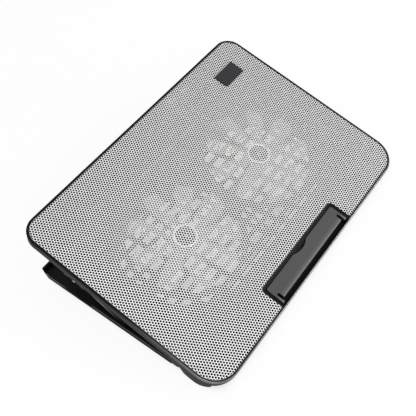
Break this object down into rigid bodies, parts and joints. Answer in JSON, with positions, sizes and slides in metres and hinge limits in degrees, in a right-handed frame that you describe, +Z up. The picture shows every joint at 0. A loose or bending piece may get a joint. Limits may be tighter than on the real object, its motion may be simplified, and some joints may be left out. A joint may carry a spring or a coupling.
{
  "type": "laptop cooling pad",
  "caption": "Laptop cooling pad: a perforated metal deck with fans below, a flip-up front stopper and a hinged base whose props raise the rear of the deck.",
  "frame": {"origin": "on the desk, under the middle of the pad's bounding box", "axes": "+X along the long side to the user's right, +Y to the rear, +Z up from the desk"},
  "size_m": [0.3656, 0.2536, 0.091],
  "materials": {
    "black_abs": "fine matt texture",
    "grey_abs": "satin",
    "pale_abs": "satin",
    "silver_paint": "satin",
    "badge_black": "gloss",
    "smoke_plastic": "polished",
    "steel": "plain",
    "brass": "plain",
    "ferrite": "matt",
    "copper": "enamelled",
    "lamp": "clear",
    "board": "lacquered",
    "rubber": "matt"
  },
  "bodies": {
    "base": {"base_tray": "black_abs", "rear_feet": "rubber", "prop_pins": "steel"},
    "prop_left": {"prop_leg_left": "pale_abs"},
    "prop_right": {"prop_leg_right": "pale_abs"},
    "fan_left": {"fan_rotor_left": "smoke_plastic", "rotor_magnet_left": "ferrite", "fan_shaft_left": "steel"},
    "fan_right": {"fan_rotor_right": "smoke_plastic", "rotor_magnet_right": "ferrite", "fan_shaft_right": "steel"},
    "stopper": {"stopper_flap": "grey_abs"},
    "switch": {"switch_slider": "grey_abs"},
    "deck": {"top_frame": "black_abs", "mesh_panel": "silver_paint", "badge_plate": "badge_black", "bottom_cover": "black_abs", "cover_screws": "steel", "stopper_pins": "steel", "fan_bearing_left": "brass", "fan_bearing_right": "brass", "motor_stator_left": "copper", "motor_stator_right": "copper", "fan_lamps_left": "lamp", "fan_lamps_right": "lamp", "fan_lead_left": "rubber", "fan_lead_right": "rubber", "circuit_board": "board", "usb_sockets": "steel", "switch_body": "black_abs", "rack_left": "black_abs", "rack_right": "black_abs", "rack_screws": "steel", "front_pads": "rubber", "hinge_pins": "steel"}
  },
  "joints": [
    {"name": "deck_tilt", "type": "hinge", "parent": "base", "child": "deck", "pos_m": [0, -0.07184, 0.0151], "axis": [1, 0, 0], "range_deg": [-17, 0]},
    {"name": "prop_left_fold", "type": "hinge", "parent": "base", "child": "prop_left", "pos_m": [0, -0.00184, 0.0151], "axis": [1, 0, 0], "range_deg": [-34, 0]},
    {"name": "prop_right_fold", "type": "hinge", "parent": "base", "child": "prop_right", "pos_m": [0, -0.00184, 0.0151], "axis": [1, 0, 0], "range_deg": [-34, 0]},
    {"name": "fan_left_spin", "type": "hinge", "parent": "deck", "child": "fan_left", "pos_m": [-0.07, -0.00019, 0.04411], "axis": [0, -0.2924, 0.9563], "continuous": true},
    {"name": "fan_right_spin", "type": "hinge", "parent": "deck", "child": "fan_right", "pos_m": [0.07, -0.00019, 0.04411], "axis": [0, -0.2924, 0.9563], "continuous": true},
    {"name": "stopper_flip", "type": "hinge", "parent": "deck", "child": "stopper", "pos_m": [0, -0.11965, 0.01345], "axis": [1, 0, 0], "range_deg": [0, 95]},
    {"name": "switch_slide", "type": "slide", "parent": "deck", "child": "switch", "axis": [1, 0, 0], "range_m": [0, 0.003]}
  ],
  "couplings": [
    {"joint": "prop_left_fold", "follows": "deck_tilt", "ratio": 2},
    {"joint": "prop_right_fold", "follows": "deck_tilt", "ratio": 2}
  ]
}
